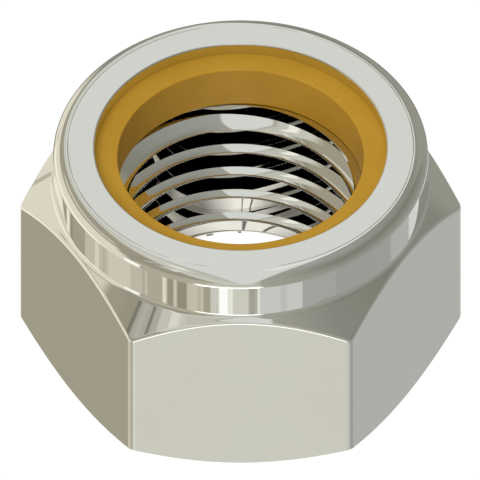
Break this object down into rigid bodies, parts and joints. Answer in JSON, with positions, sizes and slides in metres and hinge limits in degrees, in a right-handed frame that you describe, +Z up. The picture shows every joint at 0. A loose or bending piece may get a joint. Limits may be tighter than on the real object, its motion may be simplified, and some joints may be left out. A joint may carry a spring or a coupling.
{
  "type": "lock nut",
  "caption": "Hexagon lock nut with a round collar, a rolled lip and a captive nylon ring that grips the bolt thread.",
  "frame": {"origin": "centre of the bearing face, on the thread axis", "axes": "+Z up along the thread axis from the bearing face to the lip; two flats of the hexagon face -Y and +Y; two corners lie on -X and +X"},
  "size_m": [0.0276, 0.024, 0.0161],
  "materials": {
    "plated_steel": "smooth bright plating, faintly satin on the flats",
    "amber_nylon": "smooth moulded nylon, amber"
  },
  "bodies": {
    "root": {"nut_body": "plated_steel", "locking_ring": "amber_nylon"}
  },
  "joints": []
}
